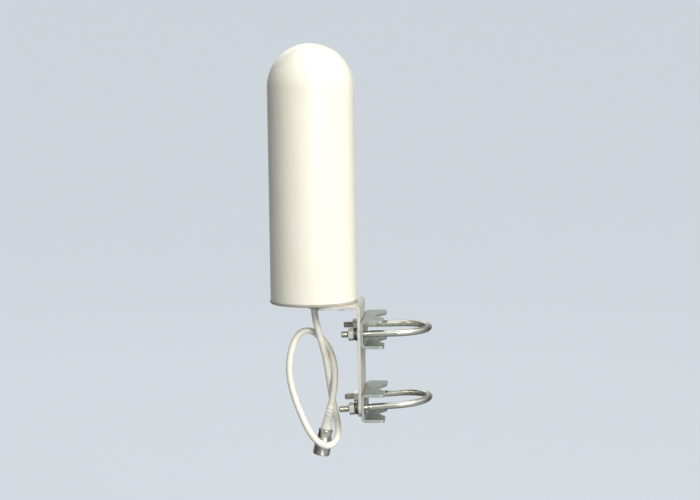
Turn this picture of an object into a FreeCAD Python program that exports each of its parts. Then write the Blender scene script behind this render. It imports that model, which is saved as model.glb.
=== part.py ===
import FreeCAD, Part
import math
import os

os.makedirs("parts", exist_ok=True)

# Pole-mount omnidirectional antenna, millimetres.
# A domed radome stands on a bent bracket, which two U-bolts clamp to an upright pole.
# Origin: on the centreline of the pole, half way between the two U-bolts.
# +Z up along the pole, +X from the antenna towards the pole,
# -Y the side on which the connector hangs in front of the cable.

Vector = FreeCAD.Vector
ORIGIN = Vector(0, 0, 0)
X_AXIS, Y_AXIS, Z_AXIS = Vector(1, 0, 0), Vector(0, 1, 0), Vector(0, 0, 1)

# ---------------------------------------------------------------- shared dimensions
# Parts of the head (radome, base and what they hold) are drawn round the Z axis
# at their own heights, then moved to the radome's centreline and lifted by head_z.
axis_x = -78.6
head_z = 0.7

# heights in the head's own drawing
flange_top_z = 57.3      # top of the bracket flange, underside of the base cap
wall_z = 59.6            # lower edge of the radome wall
floor_top_z = 63.3       # inside floor of the base cap
spigot_top_z = 71.3
stand_top_z = 75.0
sleeve_top_z = 142.0
cone_bottom_z = 146.0

# bracket sheet and its pole-side face
sheet_t = 2.5
plate_x = -35.1
plate_back_x = plate_x - sheet_t
plate_half_w = 35.0

# U-bolt legs and the holes they pass through
hole_r = 3.5
leg_y = 29.0             # half the distance between the legs

# Each U-bolt sits a little crooked in its holes: it is turned about the middle
# of the plate and saddle so that its bend stands high.
# name: (height, turn in degrees, x of the rod ends (-Y leg, +Y leg) before the turn)
clamps = {
    "upper": (33.0, 1.45, (-52.0, -54.3)),
    "lower": (-33.0, 4.2, (-55.0, -54.2)),
}
tilt_x = -35.2

cable_r = 3.0
core_r = 1.5             # insulated core of either cable
core_hole_r = 1.55       # bore round that core


# ---------------------------------------------------------------- helpers
def cyl(r, z0, z1, x=0.0, y=0.0):
    return Part.makeCylinder(r, z1 - z0, Vector(x, y, z0), Z_AXIS)


def cyl_x(r, x0, x1, y=0.0, z=0.0):
    return Part.makeCylinder(r, x1 - x0, Vector(x0, y, z), X_AXIS)


def cyl_y(r, half_length, x, z):
    return Part.makeCylinder(r, 2 * half_length, Vector(x, -half_length, z), Y_AXIS)


def box(x0, x1, y0, y1, z0, z1):
    """Box between two values on each axis; y and z may come in either order."""
    return Part.makeBox(x1 - x0, abs(y1 - y0), abs(z1 - z0),
                        Vector(x0, min(y0, y1), min(z0, z1)))


def ring(outer_r, inner_r, z0, z1):
    return cyl(outer_r, z0, z1).cut(cyl(inner_r, z0 - 1, z1 + 1))


def polygon_face(points):
    corners = [Vector(*p) for p in points]
    return Part.Face(Part.makePolygon(corners + [corners[0]]))


def revolve_z(outline):
    """Solid of revolution from the (radius, z) pairs of a closed outline."""
    return polygon_face([(r, 0, z) for r, z in outline]).revolve(ORIGIN, Z_AXIS, 360)


def hexagon(across_flats, z0, z1, turn=0.0):
    corner_r = across_flats / 2 / math.cos(math.radians(30))
    points = [(x, y, z0) for x, y in on_circle(corner_r, [60 * i + turn for i in range(6)])]
    return polygon_face(points).extrude(Vector(0, 0, z1 - z0))


def on_circle(radius, angles):
    """(x, y) places on a circle about the Z axis, angles in degrees."""
    return [(radius * math.cos(math.radians(a)), radius * math.sin(math.radians(a)))
            for a in angles]


def group(shapes):
    solids = []
    for shape in shapes:
        solids += shape.Solids
    return Part.makeCompound(solids)


def copies_at(shape, places):
    """A copy of the shape at each (x, y) place."""
    copies = []
    for x, y in places:
        item = shape.copy()
        item.translate(Vector(x, y, 0))
        copies.append(item)
    return group(copies)


def pan_screw(shank_r, head_r, head_h, seat_z, end_z, socket_af):
    """Screw driven from below: head under seat_z, shank up to end_z."""
    head_z0 = seat_z - head_h
    head = revolve_z([(0, head_z0), (head_r - 0.7, head_z0), (head_r, head_z0 + 0.9),
                      (head_r, seat_z), (0, seat_z)])
    shank = revolve_z([(0, seat_z - 0.2), (shank_r, seat_z - 0.2),
                       (shank_r, end_z - shank_r * 0.6), (shank_r * 0.5, end_z), (0, end_z)])
    socket = hexagon(socket_af, head_z0 - 1, head_z0 + head_h * 0.55)
    return head.fuse(shank).cut(socket).removeSplitter()


def export(shape, name):
    if not shape.isValid():
        raise RuntimeError(name + " is not a valid shape")
    shape.exportStep("parts/" + name + ".step")


def export_head(shape, name):
    """Moves a part of the head from its own drawing to its place, and writes it."""
    shape = shape.copy()
    shape.translate(Vector(axis_x, 0, head_z))
    export(shape, name)


# ---------------------------------------------------------------- radome and base
radome_top_z = 288.1
radome_r_base = 39.0
radome_r_top = 38.5      # where the wall meets the dome
radome_wall = 2.5

boss_places = on_circle(31.4, (60, 180, 300))       # screws from base cap to radome
boss_r = 5.0
stand_places = on_circle(17.0, (0, 120, 240))       # screws from base cap to stand
insert_places = [(x, y) for x in (8.0, 26.0) for y in (20.0, -20.0)]    # bracket bolts
boss_screw_seat_z = 59.9
stand_screw_seat_z = 59.7

lip_r = 39.5
spigot_r = 36.3
spigot_r_in = 32.8
groove_r = 34.6          # floor of the seal groove round the spigot
groove_z0, groove_z1 = 66.0, 68.4
insert_boss_top_z = 67.3
insert_hole_top_z = 65.5


def domed_solid(outline, dome_z):
    """Revolves open (radius, z) pairs that start on the axis and end under a half-sphere."""
    r = outline[-1][0]
    diagonal = r * math.cos(math.radians(45))
    top = Vector(0, 0, dome_z + r)
    side = Part.makePolygon([Vector(radius, 0, z) for radius, z in outline])
    dome = Part.Arc(Vector(r, 0, dome_z), Vector(diagonal, 0, dome_z + diagonal), top).toShape()
    axis = Part.makeLine(top, Vector(0, 0, outline[0][1]))
    return Part.Face(Part.Wire(side.Edges + [dome, axis])).revolve(ORIGIN, Z_AXIS, 360)


def radome():
    dome_z = radome_top_z - radome_r_top
    inner_base = radome_r_base - radome_wall
    inner_top = radome_r_top - radome_wall
    body = domed_solid([(0, wall_z), (radome_r_base, wall_z), (radome_r_top, dome_z)], dome_z)
    hollow = domed_solid([(0, wall_z - 1), (inner_base, wall_z - 1), (inner_base, wall_z),
                          (inner_top, dome_z)], dome_z)
    shell = body.cut(hollow)
    # screw bosses with tapered tops, kept inside a core that reaches into the wall
    boss_z0, boss_z1 = spigot_top_z + 0.3, 86.0
    core = cyl(inner_base + 0.6, boss_z0 - 1, boss_z1 + 10)
    for x, y in boss_places:
        boss = cyl(boss_r, boss_z0, boss_z1, x, y)
        boss = boss.fuse(Part.makeCone(boss_r, 2.0, 7.0, Vector(x, y, boss_z1), Z_AXIS))
        shell = shell.fuse(boss.common(core))
    for x, y in boss_places:
        shell = shell.cut(cyl(1.55, boss_z0 - 1, boss_z1 - 2, x, y))
    return shell.removeSplitter().Solids[0]


def base_cap():
    below_z, above_z = 50.0, 80.0       # cutters run well past the cap
    lip = revolve_z([(0, flange_top_z), (lip_r - 0.6, flange_top_z), (lip_r, flange_top_z + 0.6),
                     (lip_r, wall_z - 0.3), (lip_r - 0.3, wall_z), (0, wall_z)])
    cap = lip.fuse(cyl(spigot_r, wall_z, floor_top_z))
    cap = cap.fuse(ring(spigot_r, spigot_r_in, wall_z, spigot_top_z))
    # bosses, trimmed to the spigot
    for places, r, top_z in ((boss_places, boss_r, spigot_top_z),
                             (insert_places, 4.4, insert_boss_top_z)):
        for x, y in places:
            boss = cyl(r, wall_z, top_z, x, y)
            cap = cap.fuse(boss.common(cyl(spigot_r, wall_z, top_z)))
    cap = cap.cut(ring(spigot_r + 1, groove_r, groove_z0, groove_z1))
    # central hole for the gland
    cap = cap.cut(cyl(6.2, below_z, above_z))
    for x, y in insert_places:
        cap = cap.cut(cyl(2.82, below_z, insert_hole_top_z, x, y))
    # counterbored screw holes: places, shank hole, head hole, seat height
    for places, shank_r, head_r, seat_z in ((boss_places, 1.7, 3.1, boss_screw_seat_z),
                                            (stand_places, 1.45, 2.7, stand_screw_seat_z)):
        for x, y in places:
            cap = cap.cut(cyl(shank_r, below_z, above_z, x, y))
            cap = cap.cut(cyl(head_r, below_z, seat_z, x, y))
    # two shallow drain notches in the lip, clear of the bracket
    for x, y in on_circle(38.2, (150, 210)):
        cap = cap.cut(cyl(1.0, below_z, 58.6, x, y))
    return cap.removeSplitter().Solids[0]


def base_inserts():
    """Sleeves in the base cap for the bracket bolts, each with a groove round it."""
    bottom_z = flange_top_z + 0.1
    insert = ring(2.8, 2.05, bottom_z, bottom_z + 8.0)
    insert = insert.cut(ring(3.5, 2.55, bottom_z + 3.5, bottom_z + 4.5))
    return copies_at(insert, insert_places)


export_head(radome(), "radome")
export_head(base_cap(), "base_cap")
export_head(Part.makeTorus(35.55, 0.88, Vector(0, 0, (groove_z0 + groove_z1) / 2), Z_AXIS),
            "base_seal_ring")
boss_screw = pan_screw(shank_r=1.5, head_r=2.9, head_h=2.3, seat_z=boss_screw_seat_z,
                       end_z=82.5, socket_af=1.8)
export_head(copies_at(boss_screw, boss_places), "radome_screws")
export_head(base_inserts(), "base_inserts")

# ---------------------------------------------------------------- bracket
plate_bottom_z = -41.4
plate_corner_r = 8.0
flange_end_x = -75.6
flange_corner_r = 6.0
flange_notch_r = 9.2     # hole that clears the gland
bolt_hole_r = 2.25
bend_r_out = 4.0


def bracket():
    """One bent sheet: an upright plate with a flange from its top towards -X."""
    top_z = flange_top_z + head_z
    under_z = top_z - sheet_t
    half_w = plate_half_w
    plate = box(plate_back_x, plate_x, -half_w, half_w, plate_bottom_z, top_z)
    flange = box(flange_end_x, plate_x, -half_w, half_w, under_z, top_z)
    sheet = plate.fuse(flange).removeSplitter()
    # rounded bend, outside and inside, about one axis
    bend_x, bend_z = plate_x - bend_r_out, top_z - bend_r_out
    corner = box(bend_x, plate_x, -half_w, half_w, bend_z, top_z)
    corner = corner.cut(cyl_y(bend_r_out, half_w + 1, bend_x, bend_z))
    fill = box(bend_x, plate_back_x, -half_w, half_w, bend_z, under_z)
    fill = fill.cut(cyl_y(bend_r_out - sheet_t, half_w + 1, bend_x, bend_z))
    sheet = sheet.cut(corner).fuse(fill)
    # rounded lower corners of the plate
    r = plate_corner_r
    for side in (-1, 1):
        y, z = side * (half_w - r), plate_bottom_z + r
        blank = box(plate_back_x - 1, plate_x + 1, y, side * (half_w + 1), plate_bottom_z - 1, z)
        sheet = sheet.cut(blank.cut(cyl_x(r, plate_back_x - 2, plate_x + 2, y, z)))
    # rounded outer corners of the flange
    r = flange_corner_r
    for side in (-1, 1):
        x, y = flange_end_x + r, side * (half_w - r)
        blank = box(flange_end_x - 1, x, y, side * (half_w + 1), under_z - 1, top_z + 1)
        sheet = sheet.cut(blank.cut(cyl(r, under_z - 2, top_z + 2, x, y)))
    sheet = sheet.cut(cyl(flange_notch_r, under_z - 1, top_z + 1, axis_x, 0))
    for x, y in insert_places:
        sheet = sheet.cut(cyl(bolt_hole_r, under_z - 1, top_z + 1, axis_x + x, y))
    for z, _, _ in clamps.values():
        for y in (leg_y, -leg_y):
            sheet = sheet.cut(cyl_x(hole_r, plate_back_x - 1, plate_x + 1, y, z))
    return sheet.removeSplitter().Solids[0]


export(bracket(), "bracket")
bracket_bolt = pan_screw(shank_r=2.0, head_r=3.8, head_h=2.2, seat_z=flange_top_z - sheet_t,
                         end_z=64.6, socket_af=2.5)
export_head(copies_at(bracket_bolt, insert_places), "bracket_bolts")

# ---------------------------------------------------------------- cable gland
gland_body_r = 6.0
gland_bore_r = 3.1
locknut_top_z = floor_top_z + 4.0


def cable_gland():
    """Hexagon under the base cap, collar below it and hollow body up through the cap."""
    hex_z = flange_top_z - 3.0
    gland = hexagon(14.0, hex_z, flange_top_z, 30).common(
        revolve_z([(0, hex_z), (7.2, hex_z), (8.2, 55.0), (8.2, flange_top_z),
                   (0, flange_top_z)]))
    gland = gland.fuse(revolve_z([(0, 51.3), (4.6, 51.3), (5.6, 52.3), (5.6, 54.4), (0, 54.4)]))
    gland = gland.fuse(cyl(gland_body_r, flange_top_z - 0.1, 68.8))
    gland = gland.cut(cyl(gland_bore_r, 50, 70))
    # wider bore for the seal, and a mouth that flares downwards
    gland = gland.cut(cyl(4.8, 60.0, 70))
    mouth = revolve_z([(0, 50.3), (4.05, 50.3), (3.75, 51.3), (3.12, 53.3),
                       (gland_bore_r, 54.0), (0, 54.0)])
    return gland.cut(mouth).removeSplitter().Solids[0]


def gland_seal():
    return revolve_z([(gland_bore_r, 60.1), (4.7, 60.1), (4.7, 66.6), (4.2, 67.2),
                      (gland_bore_r, 67.2)])


def gland_locknut():
    """Hexagon on the cap floor, its upper corners chamfered."""
    nut = hexagon(16.0, floor_top_z, locknut_top_z).common(
        revolve_z([(0, floor_top_z), (9.4, floor_top_z), (9.4, locknut_top_z - 0.7),
                   (8.2, locknut_top_z), (0, locknut_top_z)]))
    return nut.cut(cyl(gland_body_r + 0.05, 60, 70)).Solids[0]


export_head(cable_gland(), "cable_gland")
export_head(gland_seal(), "gland_seal")
export_head(gland_locknut(), "gland_locknut")

# ---------------------------------------------------------------- inside the radome
radiator_places = on_circle(19.8, (60, 180, 300))   # screws from sleeve to stand
radiator_r = 24.0        # outside of the sleeve and of the cone's tube
radiator_r_in = 23.0
radiator_t = 1.0
stand_bore_r = 12.0
stand_flange_r = 23.6
stand_flange_z = 72.0    # underside of the stand's flange
cone_tube_top_z = 239.0


def feed_cable():
    """Jacket, insulated core and centre wire."""
    jacket = cyl(3.0, 56.4, 134.0)
    return jacket.fuse(cyl(core_r, 133.9, 139.0)).fuse(cyl(0.45, 138.9, 142.6)).removeSplitter()


def radiator_stand():
    stand = ring(15.0, stand_bore_r, floor_top_z, stand_top_z)
    stand = stand.fuse(ring(stand_flange_r, stand_bore_r, stand_flange_z, stand_top_z))
    for x, y in stand_places:
        post = cyl(3.4, floor_top_z, stand_flange_z + 0.5, x, y)
        stand = stand.fuse(post.cut(cyl(stand_bore_r, 60, 80)))
    for x, y in stand_places:
        stand = stand.cut(cyl(1.3, 60, stand_flange_z, x, y))
    for x, y in radiator_places:
        stand = stand.cut(cyl(1.3, stand_flange_z - 1, stand_top_z + 1, x, y))
    return stand.removeSplitter().Solids[0]


def ground_sleeve():
    """Lower radiator: sheet cup, open below, with an inward foot on the stand."""
    foot_top_z = stand_top_z + radiator_t
    under_top_z = sleeve_top_z - radiator_t
    sleeve = revolve_z([(16.4, stand_top_z), (radiator_r, stand_top_z),
                        (radiator_r, sleeve_top_z), (4.0, sleeve_top_z), (4.0, under_top_z),
                        (radiator_r_in, under_top_z), (radiator_r_in, foot_top_z),
                        (16.4, foot_top_z)])
    for x, y in radiator_places:
        sleeve = sleeve.cut(cyl(1.4, stand_top_z - 1, foot_top_z + 1, x, y))
    # four holes through the top
    for x, y in on_circle(14.0, (0, 90, 180, 270)):
        sleeve = sleeve.cut(cyl(3.0, under_top_z - 1, sleeve_top_z + 1, x, y))
    return sleeve.Solids[0]


def radiator_screws():
    """Screws driven from above, heads on the sleeve's foot."""
    screw = pan_screw(shank_r=1.25, head_r=2.3, head_h=1.7, seat_z=0.0, end_z=3.4,
                      socket_af=1.5)
    screw.rotate(ORIGIN, X_AXIS, 180)
    screw.translate(Vector(0, 0, stand_top_z + radiator_t))
    return copies_at(screw, radiator_places)


def feed_insulator():
    return revolve_z([(core_hole_r, 139.6), (3.9, 139.6), (3.9, sleeve_top_z),
                      (8.0, sleeve_top_z), (8.0, cone_bottom_z), (core_hole_r, cone_bottom_z)])


def feed_pin():
    """Pin with a socket from below for the feed cable's centre wire."""
    return revolve_z([(0, 143.0), (0.52, 143.0), (0.52, 139.1), (1.5, 139.1), (1.5, 150.0),
                      (1.1, 150.6), (0, 150.6)])


def radiator_cone():
    """Upper radiator: cone opening into a tube with an outward rim."""
    rim_top_z = cone_tube_top_z + radiator_t
    floor_z = cone_bottom_z + radiator_t
    return revolve_z([(core_hole_r, cone_bottom_z), (5.0, cone_bottom_z), (radiator_r, 186.0),
                      (radiator_r, cone_tube_top_z), (radiator_r + 1.0, cone_tube_top_z),
                      (radiator_r + 1.0, rim_top_z), (radiator_r_in, rim_top_z),
                      (radiator_r_in, 186.3), (4.55, floor_z), (core_hole_r, floor_z)])


def top_spacer():
    """Ring between the cone's tube and the radome wall, with six holes."""
    inner_r, edge_r = radiator_r + 0.1, 35.75
    bottom_z = cone_tube_top_z - 6.0
    spacer = revolve_z([(inner_r, bottom_z), (edge_r, bottom_z),
                        (edge_r + 0.2, cone_tube_top_z - 3.0), (edge_r, cone_tube_top_z),
                        (inner_r, cone_tube_top_z)])
    for x, y in on_circle(30.0, [60 * i + 30 for i in range(6)]):
        spacer = spacer.cut(cyl(4.0, bottom_z - 3, cone_tube_top_z + 3, x, y))
    return spacer.Solids[0]


export_head(feed_cable(), "feed_cable")
export_head(radiator_stand(), "radiator_stand")
stand_screw = pan_screw(shank_r=1.25, head_r=2.5, head_h=1.9, seat_z=stand_screw_seat_z,
                        end_z=70.5, socket_af=1.5)
export_head(copies_at(stand_screw, stand_places), "stand_screws")
export_head(ground_sleeve(), "ground_sleeve")
export_head(radiator_screws(), "radiator_screws")
export_head(feed_insulator(), "feed_insulator")
export_head(feed_pin(), "feed_pin")
export_head(radiator_cone(), "radiator_cone")
export_head(top_spacer(), "top_spacer")

# ---------------------------------------------------------------- saddles
saddle_t = 2.3
saddle_half_h = 12.5
saddle_tip_x = -14.8
saddle_tip_r = 3.0
saddle_bend_out = 3.8
saddle_apex_x = -24.5    # bottom of the notch for the pole
notch_depth = 20.0       # length of the notch cutter along X


def saddle(z):
    """Pressed channel, web on the plate and two flanges towards the pole."""
    half_w, half_h = plate_half_w, saddle_half_h
    web_x = plate_x + saddle_t
    inner_h = half_h - saddle_t
    outer = box(plate_x, saddle_tip_x, -half_w, half_w, -half_h, half_h)
    inner = box(web_x, saddle_tip_x + 1, -half_w - 1, half_w + 1, -inner_h, inner_h)
    # both radii of each bend share an axis
    bend_x = plate_x + saddle_bend_out
    for side in (-1, 1):
        bend_z = side * (half_h - saddle_bend_out)
        blank = box(plate_x - 1, bend_x, -half_w - 1, half_w + 1, bend_z, side * (half_h + 1))
        outer = outer.cut(blank.cut(cyl_y(saddle_bend_out, half_w + 2, bend_x, bend_z)))
        blank = box(web_x - 0.5, bend_x, -half_w - 2, half_w + 2, bend_z, side * (inner_h + 0.5))
        inner = inner.cut(blank.cut(cyl_y(saddle_bend_out - saddle_t, half_w + 3,
                                          bend_x, bend_z)))
    channel = outer.cut(inner)
    # 120 degree notch for the pole in both flanges
    notch_x = saddle_apex_x + notch_depth
    notch_y = notch_depth * math.tan(math.radians(60))
    notch = polygon_face([(saddle_apex_x, 0, -half_h - 1), (notch_x, notch_y, -half_h - 1),
                          (notch_x, -notch_y, -half_h - 1)])
    channel = channel.cut(notch.extrude(Vector(0, 0, 2 * half_h + 2)))
    # rounded outer tips
    tip_x = saddle_tip_x - saddle_tip_r
    for side in (-1, 1):
        y = side * (half_w - saddle_tip_r)
        blank = box(tip_x, saddle_tip_x + 1, y, side * (half_w + 1), -half_h - 1, half_h + 1)
        channel = channel.cut(blank.cut(cyl(saddle_tip_r, -half_h - 2, half_h + 2, tip_x, y)))
    for y in (leg_y, -leg_y):
        channel = channel.cut(cyl_x(hole_r, plate_x - 1, web_x + 1, y, 0))
    channel = channel.removeSplitter()
    channel.translate(Vector(0, 0, z))
    return channel.Solids[0]


# ---------------------------------------------------------------- U-bolts and nuts
rod_r = 3.0
rod_chamfer = 0.8
arc_x = -4.8             # centre of the half-circle
nut_af = 10.0
nut_t = 5.0
nut_bore_r = 3.05
washer_t = 1.6
washer_r = 6.0
washer_x = plate_back_x - washer_t      # face of the flat washer away from the plate
spring_t = 1.6
spring_r = 5.3
washer_bore_r = 3.2


def tilted(shape, z, tilt):
    """Turns a part of the clamp at height z into line with its crooked U-bolt."""
    shape = shape.copy()
    shape.rotate(Vector(tilt_x, 0, z), Y_AXIS, -tilt)
    return shape


def u_bolt(z, ends):
    legs = []
    for side, end_x in zip((-1, 1), ends):
        leg = polygon_face([(end_x, 0, 0), (end_x, rod_r - rod_chamfer, 0),
                            (end_x + rod_chamfer, rod_r, 0), (arc_x, rod_r, 0), (arc_x, 0, 0)])
        leg = leg.revolve(ORIGIN, X_AXIS, 360)
        leg.translate(Vector(0, side * leg_y, z))
        legs.append(leg)
    circle = Part.Face(Part.Wire(Part.makeCircle(rod_r, Vector(arc_x, -leg_y, z), X_AXIS)))
    bend = circle.revolve(Vector(arc_x, 0, z), Z_AXIS, 180)
    return legs[0].fuse(bend).fuse(legs[1]).removeSplitter().Solids[0]


def spring_face_x(tilt):
    """Pole-side face of the spring washer, which meets the flat one at one edge only."""
    angle = math.radians(tilt)
    gap = 0.005
    return tilt_x - (tilt_x - washer_x + gap + spring_r * math.sin(angle)) / math.cos(angle)


def nut(y, z, face_x):
    """Hexagon nut with 28 degree corner chamfers, its pole-side face at face_x."""
    corner_r = nut_af / 2 / math.cos(math.radians(30)) + 0.02
    face_r = nut_af / 2 - 0.25
    rise = (corner_r - 0.02 - face_r) * math.tan(math.radians(28))
    envelope = revolve_z([(0, 0), (face_r, 0), (corner_r, rise), (corner_r, nut_t - rise),
                          (face_r, nut_t), (0, nut_t)])
    mouth_r = nut_bore_r + 0.3
    bore = revolve_z([(0, -1), (mouth_r + 1, -1), (mouth_r, 0), (nut_bore_r, 0.3),
                      (nut_bore_r, nut_t - 0.3), (mouth_r, nut_t), (mouth_r + 1, nut_t + 1),
                      (0, nut_t + 1)])
    body = hexagon(nut_af, 0, nut_t).common(envelope).cut(bore)
    body.rotate(ORIGIN, Y_AXIS, 90)
    body.translate(Vector(face_x - nut_t, y, z))
    return body.Solids[0]


def washer(r, x0, x1, y, z):
    return cyl_x(r, x0, x1, y, z).cut(cyl_x(washer_bore_r, x0 - 1, x1 + 1, y, z))


def spring_washer(y, z, x1):
    """Washer split at the top by a slanting slit."""
    x0 = x1 - spring_t
    slit = box(x0 - 1, x1 + 1, -0.5, 0.5, 1.0, 8.0)
    slit.rotate(Vector((x0 + x1) / 2, 0, 4.5), Z_AXIS, 25)
    slit.translate(Vector(0, y, z))
    return washer(spring_r, x0, x1, y, z).cut(slit)


flats, springs = [], []
for label, (z, tilt, ends) in clamps.items():
    export(saddle(z), label + "_saddle")
    export(tilted(u_bolt(z, ends), z, tilt), label + "_u_bolt")
    spring_x = spring_face_x(tilt)
    for side_name, y in (("front", -leg_y), ("rear", leg_y)):
        export(tilted(nut(y, z, spring_x - spring_t), z, tilt), label + "_nut_" + side_name)
    # the flat washers lie on the plate and follow the tilted rods in height
    washer_mid_x = (washer_x + plate_back_x) / 2
    flat_z = z + (washer_mid_x - tilt_x) * math.tan(math.radians(tilt))
    for y in (leg_y, -leg_y):
        flats.append(washer(washer_r, washer_x, plate_back_x, y, flat_z))
        springs.append(tilted(spring_washer(y, z, spring_x), z, tilt))
export(group(flats), "flat_washers")
export(group(springs), "spring_washers")

# ---------------------------------------------------------------- pigtail and connector
# (x, y, z) along the cable's centreline from the gland, round the loop, to the connector
cable_path = [
    (-78.60, 0.00, 54.00), (-78.32, -0.10, 48.37), (-77.58, -0.29, 42.80),
    (-76.50, -0.50, 37.28), (-75.22, -0.67, 31.97), (-73.77, -0.75, 26.50),
    (-72.30, -0.67, 21.04), (-70.96, -0.38, 15.75), (-69.76, 0.18, 10.27),
    (-68.76, 0.99, 4.76), (-67.93, 1.90, -0.59), (-67.18, 2.89, -6.12),
    (-66.52, 3.81, -11.48), (-65.85, 4.63, -17.02), (-65.15, 5.22, -22.56),
    (-64.37, 5.49, -28.08), (-63.47, 5.34, -33.60), (-62.44, 4.71, -38.92),
    (-61.21, 3.52, -44.23), (-59.86, 1.72, -49.47), (-58.77, -0.54, -54.37),
    (-58.25, -3.34, -59.14), (-58.75, -6.63, -63.60), (-60.70, -10.22, -67.42),
    (-64.21, -13.67, -70.10), (-69.15, -15.81, -70.28), (-74.07, -15.98, -67.89),
    (-78.41, -15.04, -64.32), (-81.95, -13.52, -60.31), (-84.92, -11.67, -55.94),
    (-87.43, -9.79, -51.47), (-89.82, -7.99, -46.68), (-92.09, -6.50, -41.80),
    (-94.22, -5.28, -36.83), (-96.24, -4.27, -31.62), (-98.03, -3.46, -26.34),
    (-99.49, -2.80, -21.15), (-100.69, -2.22, -15.72), (-101.52, -1.67, -10.23),
    (-101.94, -1.11, -4.69), (-101.90, -0.48, 0.91), (-101.39, 0.24, 6.38),
    (-100.37, 1.11, 11.88), (-98.91, 2.11, 17.05), (-96.85, 3.29, 22.15),
    (-93.94, 4.59, 26.71), (-89.70, 5.94, 29.99), (-84.23, 6.99, 30.46),
    (-79.06, 7.37, 28.38), (-74.64, 7.22, 24.98), (-70.86, 6.75, 20.91),
    (-67.65, 6.03, 16.41), (-65.07, 5.10, 11.60), (-63.12, 4.01, 6.48),
    (-61.83, 2.85, 1.22), (-61.11, 1.68, -4.15), (-60.90, 0.58, -9.60),
    (-61.12, -0.40, -15.11), (-61.70, -1.19, -20.64), (-62.56, -1.72, -26.19),
    (-63.63, -1.96, -31.72), (-64.60, -2.00, -36.20),
]
boot_top = Vector(*cable_path[-1])
connector_dir = Vector(-0.2183, 0.0, -0.9759)
connector_dir.normalize()
jacket_end = 12.0        # where the jacket ends, measured from the boot's top


def pigtail_cable():
    points = [Vector(*p) for p in cable_path]
    points += [boot_top + connector_dir * d for d in (4.0, 8.0, jacket_end)]
    curve = Part.BSplineCurve()
    curve.interpolate(points)
    spine = Part.Wire([curve.toShape()])
    profile = Part.Wire([Part.makeCircle(cable_r, points[0], Vector(0, 0, -1))])
    pipe = spine.makePipeShell([profile], True, False)
    # guards against the sweep coming back as a shell
    cable = pipe.Solids[0] if pipe.Solids else Part.Solid(pipe)
    # half-ball on the end in the gland
    cable = cable.fuse(Part.makeSphere(cable_r, points[0], Z_AXIS, 0, 90, 360))
    # stripped end: the insulated core runs on through the crimp
    core_start = boot_top + connector_dir * jacket_end
    cable = cable.fuse(Part.makeCylinder(core_r, 11.9, core_start, connector_dir))
    return cable.Solids[0]


# The connector's parts are drawn along +Z, with z = 0 at the boot's top end
# and z growing towards the open, threaded end.
def on_connector(shape):
    """Turns a shape into the connector's direction at the boot's top."""
    turn = FreeCAD.Rotation(Z_AXIS, connector_dir)
    shape.Placement = FreeCAD.Placement(boot_top, turn).multiply(shape.Placement)
    return shape.Solids[0]


def connector_boot():
    """Tapered moulding over the end of the cable, with three grooves."""
    boot = revolve_z([(3.05, 0.0), (3.35, 0.0), (3.6, 0.5), (3.75, 6.0), (4.25, 14.0),
                      (4.7, 18.5), (4.7, 21.4), (4.4, 22.0), (4.1, 22.0), (4.1, 12.2),
                      (3.05, 12.2)])
    for i in range(3):
        groove_z = 3.2 + 3.4 * i
        boot = boot.cut(ring(6.0, 3.45 + 0.08 * i, groove_z, groove_z + 1.0))
    return boot


def crimp_ferrule():
    return revolve_z([(core_hole_r, 12.3), (4.05, 12.3), (4.05, 21.95), (core_hole_r, 21.95)])


def connector_rear_nut():
    """Round nut with two spanner flats."""
    rear = revolve_z([(core_hole_r, 22.0), (5.6, 22.0), (6.6, 22.9), (6.6, 29.4), (6.0, 30.0),
                      (core_hole_r, 30.0)])
    for x0, x1 in ((-9.0, -6.0), (6.0, 9.0)):
        rear = rear.cut(box(x0, x1, -9, 9, 24.2, 28.6))
    return rear.removeSplitter()


def connector_body():
    """Body with the plain cylinder of the coupling thread on its outside."""
    thread_r = 7.94
    return revolve_z([(core_hole_r, 30.0), (6.3, 30.0), (6.3, 31.2), (7.4, 31.2),
                      (thread_r, 31.8), (thread_r, 33.6), (6.9, 34.2), (6.9, 35.6),
                      (thread_r, 36.2), (thread_r, 46.2), (6.2, 46.2), (6.2, 37.4),
                      (4.1, 37.4), (4.1, 33.0), (core_hole_r, 33.0)])


def connector_insulator():
    return revolve_z([(0.85, 33.05), (4.05, 33.05), (4.05, 37.3), (3.4, 37.6), (3.4, 41.0),
                      (1.62, 41.0), (1.62, 38.6), (0.85, 38.6)])


def connector_contact():
    """Centre pin ending in a socket with two crossed slots."""
    contact = revolve_z([(0, 24.0), (0.8, 24.0), (0.8, 38.7), (1.55, 38.7), (1.55, 43.2),
                         (1.3, 43.4), (0.85, 43.4), (0.85, 39.6), (0, 39.6)])
    for angle in (0, 90):
        slot = box(-0.12, 0.12, -3, 3, 40.2, 45)
        slot.rotate(ORIGIN, Z_AXIS, angle)
        contact = contact.cut(slot)
    return contact


export(pigtail_cable(), "pigtail_cable")
for part in (connector_boot, crimp_ferrule, connector_rear_nut, connector_body,
             connector_insulator, connector_contact):
    export(on_connector(part()), part.__name__)
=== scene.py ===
"""A pole-mounted antenna: a domed radome on a zinc bracket, two U-bolts and a cable pigtail.

The radome stands on a vertical axis at x = AXIS_X. The U-bolts lie level at z = +33 and -33,
legs pointing to -X, bends to +X. The pigtail leaves the radome's foot, loops once below it and
ends in a threaded socket pointing down. The front is -Y, where the camera stands.
Lengths are millimetres unless a comment says metres; +Z is up.
"""
import math

import bmesh
import bpy
import numpy as np
from mathutils import Matrix, Vector


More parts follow.
